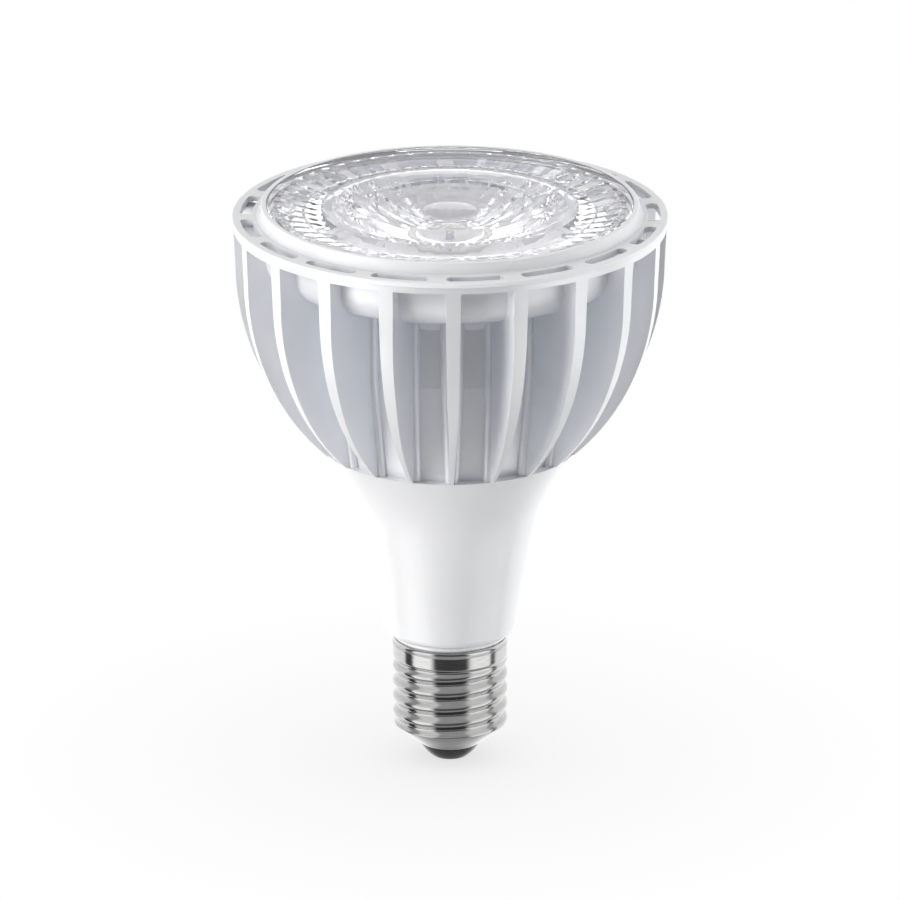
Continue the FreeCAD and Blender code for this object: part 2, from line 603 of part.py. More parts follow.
def lens():
    """Clear moulded lens: a front plate with a round dish and a bull's eye, a
    rim that the ring holds, a ring of prisms and a deep faceted cone over the
    light source."""
    body = body_of("lens")
    turned(body, "lens_form", [
        ("0", "z_lens_back"),
        ("lens_wall_r", "z_lens_back"),
        ("lens_wall_r", "z_ledge"),
        ("lens_flange_r", "z_ledge"),
        ("lens_flange_r", "z_spigot"),
        ("lens_r", "z_spigot"),
        ("lens_r", "z_lens - lens_edge"),
        ("lens_r - lens_edge", "z_lens"),
        ("0", "z_lens"),
    ])
    turned(body, "dish", [
        ("0", "z_lens - dish_depth + eye_h"),
        ("eye_r", "z_lens - dish_depth"),
        ("dish_ring_r", "z_lens - dish_depth + dish_floor_rise"),
        ("dish_ring_r", "z_lens - dish_depth + dish_floor_rise + dish_ring_h"),
        ("dish_r", "z_lens"),
        ("0", "z_lens"),
    ], {0: ("eye_curve", 1), 3: ("dish_curve", -1)}, cut=True)
    rims = []
    for name, radius, height in (
        ("prism_root", "prism_out_r", "z_lens_back + tir_overlap"),
        ("prism_tip", "prism_tip_r", "z_prism"),
    ):
        rims.append(polygon(sketch_on(body, name, "XY_Plane", height), radius, "prism_sides"))
    ruled_loft(body, "outer_prism", rims)
    turned(body, "prism_hollow", [
        ("0", "z_prism - prism_tip_t"),
        ("prism_tip_r - prism_tip_t", "z_prism - prism_tip_t"),
        ("prism_tip_r - prism_tip_t", "z_prism"),
        ("prism_in_r", "z_lens_back"),
        ("0", "z_lens_back"),
    ], cut=True)
    stages = []
    top = "(z_lens_back + tir_overlap)"
    for name, inward, down in (
        ("top", 0, 0),
        ("mid", "tir_mid", "tir_mid"),
        ("low", "tir_low_in", "tir_low"),
        ("foot", 1, 1),
    ):
        radius = "(tir_top_r - (tir_top_r - tir_foot_r) * %s)" % inward
        height = "%s - (%s - z_lens_foot) * %s" % (top, top, down)
        stage = sketch_on(body, "cone_" + name, "XY_Plane", height)
        stages.append(polygon(stage, radius, "tir_sides"))
    ruled_loft(body, "central_cone", stages)
    turned(body, "source_bore", [
        ("0", "z_lens_foot - bore_flare"),
        ("bore_r + bore_flare", "z_lens_foot - bore_flare"),
        ("bore_r", "z_lens_foot + bore_h"),
        ("0", "z_lens_foot + bore_h - (bore_dome - sqrt(bore_dome ^ 2 - bore_r ^ 2))"),
    ], {2: ("bore_dome", 1)}, cut=True)
    return body


def channels(body):
    """Open channels between the fins. Each is a U with its mouth outward. It
    runs straight up behind the cup from the bend in the core, and leans inward
    below it."""
    sketch = sketch_on(body, "channel_outline", "XY_Plane", "z_bend", "fin_phase")
    mouth = "(flange_r * channel_over)"
    rate = "(fin_root_t - fin_tip_t) / 2 / (fin_top_r - core_r)"
    wide_in = "((core_r + root_round) * tan(180 / fin_count) - fin_root_t / 2)"
    wide_out = "(%s * tan(180 / fin_count) - fin_root_t / 2 + %s * (%s - core_r))" % (mouth, rate, mouth)
    outline(sketch, [
        ("core_r", "-(%s - root_round)" % wide_in),
        ("core_r + root_round", "-" + wide_in),
        (mouth, "-" + wide_out),
        (mouth, wide_out),
        ("core_r + root_round", wide_in),
        ("core_r", "%s - root_round" % wide_in),
    ], {
        0: ("root_round", 1),
        4: ("root_round", 1),
    })
    upper = raised(body, "channel_upper", sketch, "z_under - z_bend", cut=True)
    upper.setExpression("TaperAngle", bind("-channel_draft"))
    doc.recompute()
    around(body, "channels_upper", upper, "fin_count")
    lower = raised(body, "channel_lower", sketch, "bend_h * channel_over", cut=True, down=True)
    lean = (value("core_r") - value("core_foot_r")) / value("bend_h")
    turn = math.radians(value("fin_phase"))
    lower.UseCustomVector = True
    lower.Direction = Vector(-lean * math.cos(turn), -lean * math.sin(turn), -1)
    lower.AlongSketchNormal = True
    lower.setExpression("TaperAngle", bind("channel_draft"))
    doc.recompute()
    around(body, "channels_lower", lower, "fin_count")


def heatsink():
    """Die-cast bowl: core, cup and hoop in one, with open channels between the
    fins."""
    body = body_of("heatsink")
    turned(body, "bowl_form", [
        ("socket_r", "z_sink"),
        ("fin_foot_r", "z_sink"),
        ("fin_belly_r", "z_under - belly_drop"),
        ("fin_top_r", "z_under - hoop_h"),
        ("fin_top_r", "z_under"),
        ("lens_bore_r", "z_under"),
        ("lens_bore_r", "z_ledge"),
        ("ledge_r", "z_ledge"),
        ("ledge_r", "z_floor"),
        ("well_top_r", "z_floor"),
        ("well_foot_r", "z_seat"),
        ("0", "z_seat"),
        ("0", "z_plate"),
        ("cavity_top_r", "z_plate"),
        ("cavity_foot_r", "z_sink + plug_h + 2 * plug_room"),
        ("socket_r", "z_sink + plug_h + plug_room"),
    ], {1: ("bowl_curve", -1)})
    channels(body)
    behind = "core_r - core_wall / 2"
    turned(body, "cup", [
        ("ledge_r", "z_under"),
        ("ledge_r", "z_cup_foot + cup_round"),
        (behind, "z_cup_foot + cup_round"),
        (behind, "z_cup_foot"),
        ("core_r", "z_cup_foot"),
        ("core_r + cup_root", "z_cup_foot + cup_root"),
        ("cup_r", "z_under - cup_straight"),
        ("cup_r", "z_under"),
    ], {4: ("cup_root", 1), 5: ("cup_round", -1)})
    turned(body, "lens_bore", [
        ("0", "z_floor"),
        ("ledge_r", "z_floor"),
        ("ledge_r", "z_ledge"),
        ("lens_bore_r", "z_ledge"),
        ("lens_bore_r", "z_under"),
        ("0", "z_under"),
    ], cut=True)
    turned(body, "hoop", [
        ("fin_top_r - hoop_t", "z_under - hoop_h"),
        ("fin_top_r", "z_under - hoop_h"),
        ("fin_top_r", "z_under"),
        ("fin_top_r - hoop_t", "z_under"),
    ])
    turned(body, "fin_relief", [
        ("cup_r", "z_under - fin_drop"),
        ("fin_top_r - hoop_t", "z_under - fin_drop"),
        ("fin_top_r - hoop_t", "z_under"),
        ("cup_r", "z_under"),
    ], cut=True)
    screw_holes(body, "screw_hole", ["-boss_ring_r"], "screw_r", "plate_t", "boss_count")
    pair = ["holder_screw_r", "-holder_screw_r"]
    screw_holes(body, "holder_hole", pair, "small_screw_r", "small_screw_len - holder_h + screw_room")
    wires = sketch_on(body, "lead_hole_outline", "XY_Plane", "z_seat")
    for side in ("lead_x", "-lead_x"):
        ring_hole(wires, side, "lead_y", "lead_hole_r")
    raised(body, "lead_holes", wires, "plate_t", cut=True, down=True)
    return body


def screw_holes(body, name, places, radius, depth, count=None):
    """Holes down from the seat of the light source, at these places on Y,
    repeated round the axis where there is a count."""
    sketch = sketch_on(body, name + "_outline", "XY_Plane", "z_seat")
    for place in places:
        ring_hole(sketch, "0", place, radius + " + screw_clear")
    hole = raised(body, name, sketch, depth, cut=True, down=True)
    if count:
        around(body, name + "_ring", hole, count)


def neck_housing():
    """Moulded neck: flared tube, plugs into the heat sink and the cap, screw
    pillars and rails for the board."""
    body = body_of("neck_housing")
    band_in = "(cap_r - sheet_t - lip_dip - fit_clear)"
    root_in = "(root_r - sheet_t - fit_clear)"
    turned(body, "neck_form", [
        ("cap_plug_bore_r", "z_cap_plug"),
        (root_in, "z_cap_plug"),
        (root_in, "z_band - band_slope - fit_clear"),
        (band_in, "z_band + band_slope + fit_clear"),
        (band_in, "z_neck - step_h"),
        ("step_r", "z_neck - step_h"),
        ("step_r", "z_neck"),
        ("neck_foot_r", "z_neck + foot_round"),
        ("waist_r", "z_neck + waist_h"),
        ("flare_r", "z_neck + flare_h"),
        ("neck_top_r", "z_sink"),
        ("plug_r", "z_sink"),
        ("plug_r", "z_sink + plug_h"),
        ("plug_r - neck_wall", "z_sink + plug_h"),
        ("plug_r - neck_wall", "z_sink"),
        ("flare_r - neck_wall - neck_thick", "z_neck + flare_h"),
        ("waist_r - neck_wall", "z_neck + waist_h"),
        ("neck_foot_r - neck_wall", "z_neck + rail_lift"),
        ("cap_plug_bore_r", "z_neck + rail_lift"),
    ], {
        6: ("foot_round", -1),
        7: ("waist_curve", 1),
        8: ("flare_curve", 1),
        9: ("mouth_curve", 1),
    })
    bosses = sketch_on(body, "boss_outline", "XY_Plane", "z_sink - boss_depth")
    ring_hole(bosses, "0", "-boss_ring_r", "boss_r")
    boss = raised(body, "boss", bosses, "z_plate - z_sink + boss_depth")
    around(body, "bosses", boss, "boss_count")
    holes = sketch_on(body, "boss_hole_outline", "XY_Plane", "z_plate")
    ring_hole(holes, "0", "-boss_ring_r", "screw_r + screw_clear")
    hole = raised(body, "boss_hole", holes, "screw_len - plate_t + boss_room", cut=True, down=True)
    around(body, "boss_holes", hole, "boss_count")
    rails = sketch_on(body, "rail_outline", "XZ_Plane", "-rail_half")
    low = "z_neck + rail_foot"
    high = "z_neck + rail_h + rail_lift"
    inner = "board_half - rail_depth"
    outer = "neck_foot_r - neck_wall / 2"
    lean = "(waist_r - neck_foot_r) * rail_h / waist_h"
    for sign in ("", "-"):
        outline(rails, [
            ("%s(%s)" % (sign, inner), low),
            ("%s(%s)" % (sign, outer), low),
            ("%s(%s + %s)" % (sign, outer, lean), high),
            ("%s(%s)" % (sign, inner), high),
        ])
    raised(body, "rails", rails, "2 * rail_half")
    slots = sketch_on(body, "board_slot_outline", "XZ_Plane", "-(face_y + fit_clear)")
    side = "(board_half + fit_clear)"
    top = "z_neck + rail_h + slot_over"
    outline(slots, [("-" + side, "z_board"), (side, "z_board"), (side, top), ("-" + side, top)])
    raised(body, "board_slots", slots, "board_t + 2 * fit_clear", cut=True)
    return body


def cap_shell():
    """Rolled cap: plain band with a coved lip, Edison thread and end cone."""
    body = body_of("cap_shell")
    band_foot = "z_band + band_slope"
    root_top = "z_band - band_slope"
    lip_foot = "z_rim - lip_h"
    lip_mid = "z_rim - lip_h / 2"
    turned(body, "shell_form", [
        ("cap_end_r", "z_cone"),
        ("root_r", "z_thread"),
        ("root_r", root_top),
        ("cap_r", band_foot),
        ("cap_r", lip_foot),
        ("cap_r - lip_dip", lip_mid),
        ("cap_r - lip_in", "z_rim"),
        ("cap_r - lip_in - sheet_t", "z_rim"),
        ("cap_r - lip_dip - sheet_t", lip_mid),
        ("cap_r - sheet_t", lip_foot),
        ("cap_r - sheet_t", band_foot),
        ("root_r - sheet_t", root_top),
        ("root_r - sheet_t", "z_thread + sheet_t / 3"),
        ("cap_end_r - sheet_t", "z_cone"),
    ], {
        4: ("lip_h", 1),
        5: ("lip_h", 1),
    })
    ridge = sketch_on(body, "thread_outline")
    start = "(z_thread - thread_lead)"
    outline(ridge, [
        ("root_r - sheet_t / 2", start + " - ridge_share / 2 * thread_pitch"),
        ("root_r", start + " - ridge_share / 2 * thread_pitch"),
        ("cap_r", start + " - crest_share / 2 * thread_pitch"),
        ("cap_r", start + " + crest_share / 2 * thread_pitch"),
        ("root_r", start + " + ridge_share / 2 * thread_pitch"),
        ("root_r - sheet_t / 2", start + " + ridge_share / 2 * thread_pitch"),
    ])
    doc.recompute()
    helix = body.newObject("PartDesign::AdditiveHelix", "thread")
    helix.Profile = ridge
    helix.ReferenceAxis = (ridge, ["V_Axis"])
    helix.Mode = 0
    helix.setExpression("Pitch", bind("thread_pitch"))
    helix.setExpression("Height", bind("thread_h + thread_lead + ridge_over * thread_pitch"))
    doc.recompute()
    inside = "root_r - sheet_t - thread_depth"
    turned(body, "band_bore", [
        (inside, root_top),
        ("root_r - sheet_t", root_top),
        ("cap_r - sheet_t", band_foot),
        ("cap_r - sheet_t", lip_foot),
        (inside, lip_foot),
    ], cut=True)
    turned(body, "thread_run_out", [
        ("cap_end_r", "z_cone"),
        ("cap_end_r", "z_cone - cone_h"),
        ("cap_r + run_out", "z_cone - cone_h"),
        ("cap_r + run_out", "z_thread + run_out"),
        ("root_r + seat_clear", "z_thread + seat_clear"),
    ], cut=True)
    return body


def cap_insulator():
    """Black insulator that closes the end cone and holds the contact."""
    body = body_of("cap_insulator")
    inner = "cap_end_r - sheet_t - fit_clear"
    slope = "((root_r - cap_end_r) / cone_h)"
    turned(body, "insulator_form", [
        ("stem_r + seat_clear", "button_h"),
        ("insulator_end_r", "button_h"),
        ("cap_end_r", "z_cone - seat_clear"),
        (inner, "z_cone"),
        ("%s + %s * (insulator_in_h - fit_clear)" % (inner, slope), "z_cone + insulator_in_h"),
        ("stem_r + seat_clear", "z_cone + insulator_in_h"),
    ], {1: ("insulator_curve", -1)})
    return body


def centre_contact():
    body = body_of("centre_contact")
    turned(body, "contact_form", [
        ("0", "0"),
        ("button_flat_r", "0"),
        ("button_r", "button_h"),
        ("stem_r", "button_h"),
        ("stem_r", "z_stem"),
        ("0", "z_stem"),
    ])
    return body


def light_source():
    """Source plate, lit disc, thermal pad and the holder over them."""
    half = "-cob_side / 2"
    box("thermal_pad", ("cob_side", "cob_side", "pad_t"), (half, half, "z_seat"))
    box("cob_substrate", ("cob_side", "cob_side", "cob_t"), (half, half, "z_seat + pad_t"))
    rod("cob_phosphor", "phosphor_r", "phosphor_t", ("0", "0", "z_seat + pad_t + cob_t"))
    body = body_of("cob_holder")
    turned(body, "holder_form", [
        ("holder_open_r", "z_seat"),
        ("holder_r", "z_seat"),
        ("holder_r", "z_holder - holder_edge"),
        ("holder_r - holder_edge", "z_holder"),
        ("holder_open_r + holder_funnel", "z_holder"),
        ("holder_open_r", "z_holder - holder_funnel"),
    ])
    recess = sketch_on(body, "recess_outline", "XY_Plane", "z_seat")
    side = "(cob_side / 2 + fit_clear)"
    outline(recess, [("-" + side, "-" + side), (side, "-" + side), (side, side), ("-" + side, side)])
    raised(body, "recess", recess, "pad_t + cob_t", cut=True)
    holes = sketch_on(body, "holder_screw_outline", "XY_Plane", "z_holder")
    for place in ("holder_screw_r", "-holder_screw_r"):
        ring_hole(holes, "0", place, "small_screw_r + screw_clear")
    raised(body, "holder_screw_holes", holes, "holder_h", cut=True, down=True)


def screw_set(label, ring, count, shank_name, head_name, seat):
    """Pan-head screws on a circle, as one part. The sizes of a screw are named
    after its shank and its head."""
    body = body_of(label)
    body.AllowCompound = True
    length = shank_name + "_len"
    foot = sketch_on(body, label + "_shank", "XY_Plane", "%s - %s" % (seat, length))
    ring_hole(foot, "0", "-" + ring, shank_name + "_r")
    shank = raised(body, label + "_shanks", foot, length)
    top = sketch_on(body, label + "_head", "XY_Plane", seat)
    ring_hole(top, "0", "-" + ring, head_name + "_r")
    head = raised(body, label + "_heads", top, head_name + "_h")
    pattern = around(body, label + "_set", shank, count)
    pattern.Originals = [shank, head]
    doc.recompute()
    return body


def board():
    body = body_of("driver_board")
    shape = sketch_on(body, "board_outline", "XZ_Plane", "-face_y")
    outline(shape, [
        ("-board_half", "z_board"),
        ("board_half", "z_board"),
        ("board_half", "z_board + board_step_h - board_slant"),
        ("board_wide", "z_board + board_step_h"),
        ("board_wide", "z_board_top"),
        ("-board_wide", "z_board_top"),
        ("-board_wide", "z_board + board_step_h"),
        ("-board_half", "z_board + board_step_h - board_slant"),
    ])
    raised(body, "board_plate", shape, "board_t")
    return body


def transformer():
    """E-shaped core halves round a taped winding."""
    foot = "z_board + core_z"
    inner = "face_y + core_limb"
    core = []
    for name, y in (("core_back", "face_y"), ("core_front", inner + " + core_window")):
        core.append(box(name, ("core_w", "core_limb", "core_h"), ("-core_w / 2", y, foot)))
    for name, wide, x in (
        ("core_left", "core_limb", "-core_w / 2"),
        ("core_right", "core_limb", "core_w / 2 - core_limb"),
        ("core_middle", "core_leg", "-core_leg / 2"),
    ):
        core.append(box(name, (wide, "core_window", "core_h"), (x, inner, foot)))
    joined("transformer_core", core)
    reach = "(core_w / 2 - core_limb - coil_clear)"
    width = "(%s - core_leg / 2 - coil_clear)" % reach
    deep = "core_window - 2 * coil_clear"
    start = inner + " + coil_clear"
    tall = "core_h + 2 * coil_over"
    low = foot + " - coil_over"
    end_h = "coil_over - coil_clear"
    joined("transformer_winding", [
        box("coil_left", (width, deep, tall), ("-" + reach, start, low)),
        box("coil_right", (width, deep, tall), ("core_leg / 2 + coil_clear", start, low)),
        box("coil_foot", ("2 * " + reach, deep, end_h), ("-" + reach, start, low)),
        box("coil_top", ("2 * " + reach, deep, end_h),
            ("-" + reach, start, foot + " + core_h + coil_clear")),
    ])


def components():
    """Capacitors, choke, fuse resistor, varistor, rectifier and control chip,
    on both sides of the board."""
    rod("input_capacitor", "input_can_r", "input_can_h",
        ("0", "-(face_y + input_can_r + stand_off)", "z_board + input_can_z"))
    rod("output_capacitor", "output_can_r", "output_can_h",
        ("-output_can_x", "-(face_y + output_can_r + stand_off)", "z_board + output_can_z"))
    box("film_capacitor", ("film_w", "film_t", "film_h"),
        ("film_x", "-(face_y + film_t)", "z_board + film_z"))
    rod("line_choke", "choke_r", "choke_h", ("choke_x", "face_y + choke_r + stand_off", "z_board + low_z"))
    rod("fuse_resistor", "fuse_r", "fuse_h", ("-fuse_x", "face_y + fuse_r + stand_off", "z_board + low_z"))
    rod("varistor", "varistor_r", "varistor_t",
        ("-varistor_x", "face_y", "z_board + varistor_z"), axis="y")
    box("rectifier", ("bridge_w", "bridge_t", "bridge_h"),
        ("-bridge_w / 2", "-(face_y + bridge_t)", "z_board + bridge_z"))
    legs_z = "z_board + chip_z + (chip_h - leg_h) / 2"
    legs = ("leg_reach + leg_in", "leg_t", "leg_h")
    joined("control_chip", [
        box("chip_case", ("chip_w", "chip_t", "chip_h"),
            ("chip_x", "face_y + leg_in", "z_board + chip_z")),
        box("chip_legs_left", legs, ("chip_x - leg_reach", "face_y", legs_z)),
        box("chip_legs_right", legs, ("chip_x + chip_w - leg_in", "face_y", legs_z)),
    ])


def leads():
    """Leads up to the light source, and from the cap to the board."""
    rise = "z_seat + lead_rise"
    for label, sign in (("led_lead_red", ""), ("led_lead_black", "-")):
        lead(label, [
            (sign + "lead_x", "z_board_top - lead_drop"),
            (sign + "lead_x", rise),
            (sign + "holder_r", rise),
        ], "lead_y")
    rod("mains_lead_live", "wire_r", "z_board + mains_h - z_stem", ("0", "lead_y", "z_stem"))
    low = "z_cap_plug - mains_drop"
    lead("mains_lead_neutral", [
        ("-mains_x", "z_board + mains_h"),
        ("-mains_x", low),
        ("-(root_r - sheet_t - mains_end)", low),
    ], "lead_y")


front_ring()
lens()
heatsink()
neck_housing()
cap_shell()
cap_insulator()
centre_contact()
light_source()
screw_set("cob_holder_screws", "holder_screw_r", "holder_screws", "small_screw", "small_head", "z_holder")
screw_set("neck_screws", "boss_ring_r", "boss_count", "screw", "screw_head", "z_seat")
board()
transformer()
components()
leads()

NODES = [
    "front_ring", "lens", "heatsink", "neck_housing", "cap_shell", "cap_insulator", "centre_contact",
    "cob_holder", "cob_substrate", "cob_phosphor", "thermal_pad", "cob_holder_screws", "neck_screws",
    "driver_board", "transformer_core", "transformer_winding", "input_capacitor", "output_capacitor",
    "film_capacitor", "line_choke", "fuse_resistor", "varistor", "rectifier", "control_chip",
    "led_lead_red", "led_lead_black", "mains_lead_live", "mains_lead_neutral",
]
doc.recompute()
for item in doc.Objects:
    if "Invalid" in item.State or "Error" in item.State:
        raise RuntimeError("%s did not rebuild" % item.Name)
for label in NODES:
    shape = doc.getObjectsByLabel(label)[0].Shape
    if shape.isNull() or not shape.isValid() or not shape.Solids:
        raise RuntimeError("%s has no sound solid" % label)
    shape.exportStep("parts/%s.step" % label)
    print("%-22s %3d solid %10.1f mm3" % (label, len(shape.Solids), shape.Volume))
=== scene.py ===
import math

import bpy
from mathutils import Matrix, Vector

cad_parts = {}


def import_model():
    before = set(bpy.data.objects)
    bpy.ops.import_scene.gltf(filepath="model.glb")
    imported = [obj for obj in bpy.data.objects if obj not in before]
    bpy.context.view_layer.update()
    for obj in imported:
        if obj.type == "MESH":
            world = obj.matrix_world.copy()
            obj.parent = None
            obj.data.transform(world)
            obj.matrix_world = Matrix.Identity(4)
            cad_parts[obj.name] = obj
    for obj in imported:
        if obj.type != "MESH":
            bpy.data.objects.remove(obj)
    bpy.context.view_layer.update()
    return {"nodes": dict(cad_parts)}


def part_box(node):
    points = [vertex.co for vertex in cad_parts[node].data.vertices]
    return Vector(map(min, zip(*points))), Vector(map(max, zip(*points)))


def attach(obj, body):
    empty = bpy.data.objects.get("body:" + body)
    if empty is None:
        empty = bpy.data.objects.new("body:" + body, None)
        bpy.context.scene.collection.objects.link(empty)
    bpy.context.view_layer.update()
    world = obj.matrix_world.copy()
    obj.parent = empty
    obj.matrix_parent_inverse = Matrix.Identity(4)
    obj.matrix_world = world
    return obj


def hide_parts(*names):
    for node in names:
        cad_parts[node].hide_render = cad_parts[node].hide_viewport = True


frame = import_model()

# Par spotlight bulb, standing on its cap with the lens up. Metres, +Z up, and
# the photograph's side is -Y. Lengths that describe the object are written in
# millimetres and multiplied by MM.
MM = 0.001
NODES = frame["nodes"]
SCENE = bpy.context.scene

LENS_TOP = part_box("lens")[1].z / MM
SINK_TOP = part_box("heatsink")[1].z

# The ring's flange lies on the heat sink's top, and the camera is placed from
# its front face.
FRONT_Z = SINK_TOP + 1.2 * MM

# What the lens covers of the heat sink: the cup, down to just under its floor,
# and the well, down to just under the light source's seat.
CUP_R = 43.0 * MM
CUP_FLOOR_Z = SINK_TOP - 7.1 * MM
WELL_R = 29.5 * MM
WELL_SEAT_Z = SINK_TOP - 26.8 * MM
INSIDE_TONE = (0.9, 0.9, 0.9)

# Scale of the noise in each finish: about this many waves in a metre.
DRIFT_GRAIN = 60.0
PEEL_GRAIN = 900.0
STREAK_GRAIN = 400.0
MOULD_GRAIN = 120.0

COAT_ROUGHNESS = 0.28
WHITE = (1.0, 1.0, 1.0)

# Painted crevice shade has its full tone where less than the first share of
# what is round it lies open, and none of it from the second share on.
PAINTED_SHADE_SHARES = (0.25, 0.95)
PAINTED_SHADE_SAMPLES = 8


def placed(name, data):
    """A new object in the scene."""
    item = bpy.data.objects.new(name, data)
    SCENE.collection.objects.link(item)
    return item


def aimed(item, target):
    """Turns a camera or a lamp towards a place."""
    item.rotation_euler = (Vector(target) - item.location).to_track_quat("-Z", "Y").to_euler()


def opaque(colour):
    """A colour as a node's socket wants it."""
    return (*colour, 1.0)


def grey(level):
    """A neutral tone."""
    return (level, level, level)


def feed(links, item, socket):
    """Gives a socket its value: another socket's, or a fixed one."""
    if isinstance(item, bpy.types.NodeSocket):
        links.new(item, socket)
    else:
        socket.default_value = item


def node_tree(name):
    """A new material: itself, its nodes, its links and its Principled shader."""
    material = bpy.data.materials.new(name)
    material.use_nodes = True
    nodes = material.node_tree.nodes
    return material, nodes, material.node_tree.links, nodes["Principled BSDF"]


def object_noise(nodes, links, scale, detail=3.0, stretch=None):
    """Noise in the object's own coordinates, in metres."""
    place = nodes.new("ShaderNodeTexCoord").outputs["Object"]
    if stretch is not None:
        mapping = nodes.new("ShaderNodeMapping")
        mapping.inputs["Scale"].default_value = stretch
        links.new(place, mapping.inputs["Vector"])
        place = mapping.outputs["Vector"]
    noise = nodes.new("ShaderNodeTexNoise")
    noise.inputs["Scale"].default_value = scale
    noise.inputs["Detail"].default_value = detail
    links.new(place, noise.inputs["Vector"])
    return noise.outputs["Fac"]


def two_tones(nodes, links, factor, first, second, low=0.35, high=0.65):
    """A colour that goes from one tone to another as the factor goes from low
    to high."""
    ramp = nodes.new("ShaderNodeValToRGB")
    start, end = ramp.color_ramp.elements
    start.position = low
    start.color = opaque(first)
    end.position = high
    end.color = opaque(second)
    links.new(factor, ramp.inputs["Fac"])
    return ramp.outputs["Color"]


def mapped(nodes, links, value, span=(0.0, 1.0), onto=(0.0, 1.0)):
    """A value, with one span brought onto another and held inside it."""
    band = nodes.new("ShaderNodeMapRange")
    band.inputs["From Min"].default_value, band.inputs["From Max"].default_value = span
    band.inputs["To Min"].default_value, band.inputs["To Max"].default_value = onto
    links.new(value, band.inputs["Value"])
    return band.outputs["Result"]


def calculated(nodes, links, operation, first, second):
    """One step of arithmetic between two values, sockets or numbers."""
    step = nodes.new("ShaderNodeMath")
    step.operation = operation
    feed(links, first, step.inputs[0])
    feed(links, second, step.inputs[1])
    return step.outputs["Value"]


def mixed_colour(nodes, links, factor, first, second, blend="MIX"):
    """A mix of two colours. Each is a socket or an opaque colour."""
    mix = nodes.new("ShaderNodeMix")
    mix.data_type = "RGBA"
    mix.blend_type = blend
    feed(links, factor, mix.inputs["Factor"])
    feed(links, first, mix.inputs["A"])
    feed(links, second, mix.inputs["B"])
    return mix.outputs["Result"]


def mixed_shader(nodes, links, factor, first, second):
    """The first shader where the factor is 0, the second where it is 1."""
    mix = nodes.new("ShaderNodeMixShader")
    links.new(factor, mix.inputs["Fac"])
    links.new(first, mix.inputs[1])
    links.new(second, mix.inputs[2])
    return mix.outputs["Shader"]


def bump(nodes, links, shader, height, distance):
    """Fine relief on a shader's surface."""
    relief = nodes.new("ShaderNodeBump")
    relief.inputs["Distance"].default_value = distance
    links.new(height, relief.inputs["Height"])
    links.new(relief.outputs["Normal"], shader.inputs["Normal"])


def painted_crevice_shade(nodes, links, colour, reach, tone):
    """Painted shade: tones a colour down where other surfaces stand close by."""
    near = nodes.new("ShaderNodeAmbientOcclusion")
    near.inputs["Distance"].default_value = reach
    near.samples = PAINTED_SHADE_SAMPLES
    # tone is the colour of the painted shade in the deepest corners
    shade = two_tones(nodes, links, near.outputs["AO"], tone, WHITE, *PAINTED_SHADE_SHARES)
    return mixed_colour(nodes, links, 1.0, colour, shade, "MULTIPLY")


def under_lens(nodes, links):
    """1 on the faces of the heat sink that the lens covers, 0 elsewhere."""
    place = nodes.new("ShaderNodeTexCoord")
    split = nodes.new("ShaderNodeSeparateXYZ")
    links.new(place.outputs["Object"], split.inputs["Vector"])
    x, y, z = split.outputs

    def step(operation, first, second):
        return calculated(nodes, links, operation, first, second)

    squares = step("ADD", step("MULTIPLY", x, x), step("MULTIPLY", y, y))
    radius = step("POWER", squares, 0.5)
    well = step("MULTIPLY", step("GREATER_THAN", z, WELL_SEAT_Z), step("LESS_THAN", radius, WELL_R))
    cup = step("MULTIPLY", step("GREATER_THAN", z, CUP_FLOOR_Z), step("LESS_THAN", radius, CUP_R))
    return step("MAXIMUM", well, cup)


def painted(name, dark, light, rough, relief=0.01 * MM, coat=0.0, metallic=0.0, painted_shade=None):
    """A moulded or painted surface: faint colour drift, uneven gloss, fine orange
    peel. The last argument, a reach and a tone, gives the shade painted into corners."""
    material, nodes, links, shader = node_tree(name)
    colour = two_tones(nodes, links, object_noise(nodes, links, DRIFT_GRAIN), dark, light)
    # Painted shade: the colour is darkened in corners and crevices
    if painted_shade:
        colour = painted_crevice_shade(nodes, links, colour, *painted_shade)
    links.new(colour, shader.inputs["Base Color"])
    peel = object_noise(nodes, links, PEEL_GRAIN, detail=2.0)
    links.new(mapped(nodes, links, peel, onto=rough), shader.inputs["Roughness"])
    bump(nodes, links, shader, peel, relief)
    shader.inputs["Metallic"].default_value = metallic
    shader.inputs["Coat Weight"].default_value = coat
    shader.inputs["Coat Roughness"].default_value = COAT_ROUGHNESS
    return material


def brighten_inside(material):
    """The faces under the lens stay bright: one flat tone there, and no painted shade in corners."""
    nodes = material.node_tree.nodes
    links = material.node_tree.links
    base = nodes["Principled BSDF"].inputs["Base Color"]
    colour = base.links[0].from_socket
    inside = under_lens(nodes, links)
    links.new(mixed_colour(nodes, links, inside, colour, opaque(INSIDE_TONE)), base)


def metal(name, dark, light, rough, stretch=None, relief=0.004 * MM):
    """Plated or turned metal with faint streaks."""
    material, nodes, links, shader = node_tree(name)
    shader.inputs["Metallic"].default_value = 1.0
    streak = object_noise(nodes, links, STREAK_GRAIN, stretch=stretch)
    links.new(two_tones(nodes, links, streak, dark, light), shader.inputs["Base Color"])
    links.new(mapped(nodes, links, streak, onto=rough), shader.inputs["Roughness"])
    bump(nodes, links, shader, streak, relief)
    return material


def clear_plastic():
    """Polished clear plastic with a trace of unevenness from the mould."""
    material, nodes, links, shader = node_tree("clear_plastic")
    shader.inputs["Base Color"].default_value = (0.98, 0.978, 0.995, 1.0)
    shader.inputs["Transmission Weight"].default_value = 1.0
    shader.inputs["IOR"].default_value = 1.49
    wave = object_noise(nodes, links, MOULD_GRAIN, detail=1.0)
    links.new(mapped(nodes, links, wave, onto=(0.0, 0.03)), shader.inputs["Roughness"])
    return material


def dress(node, material):
    """Gives a CAD node its finish."""
    piece = NODES[node]
    if not piece.material_slots:
        piece.data.materials.append(material)
    for slot in piece.material_slots:
        slot.material = material


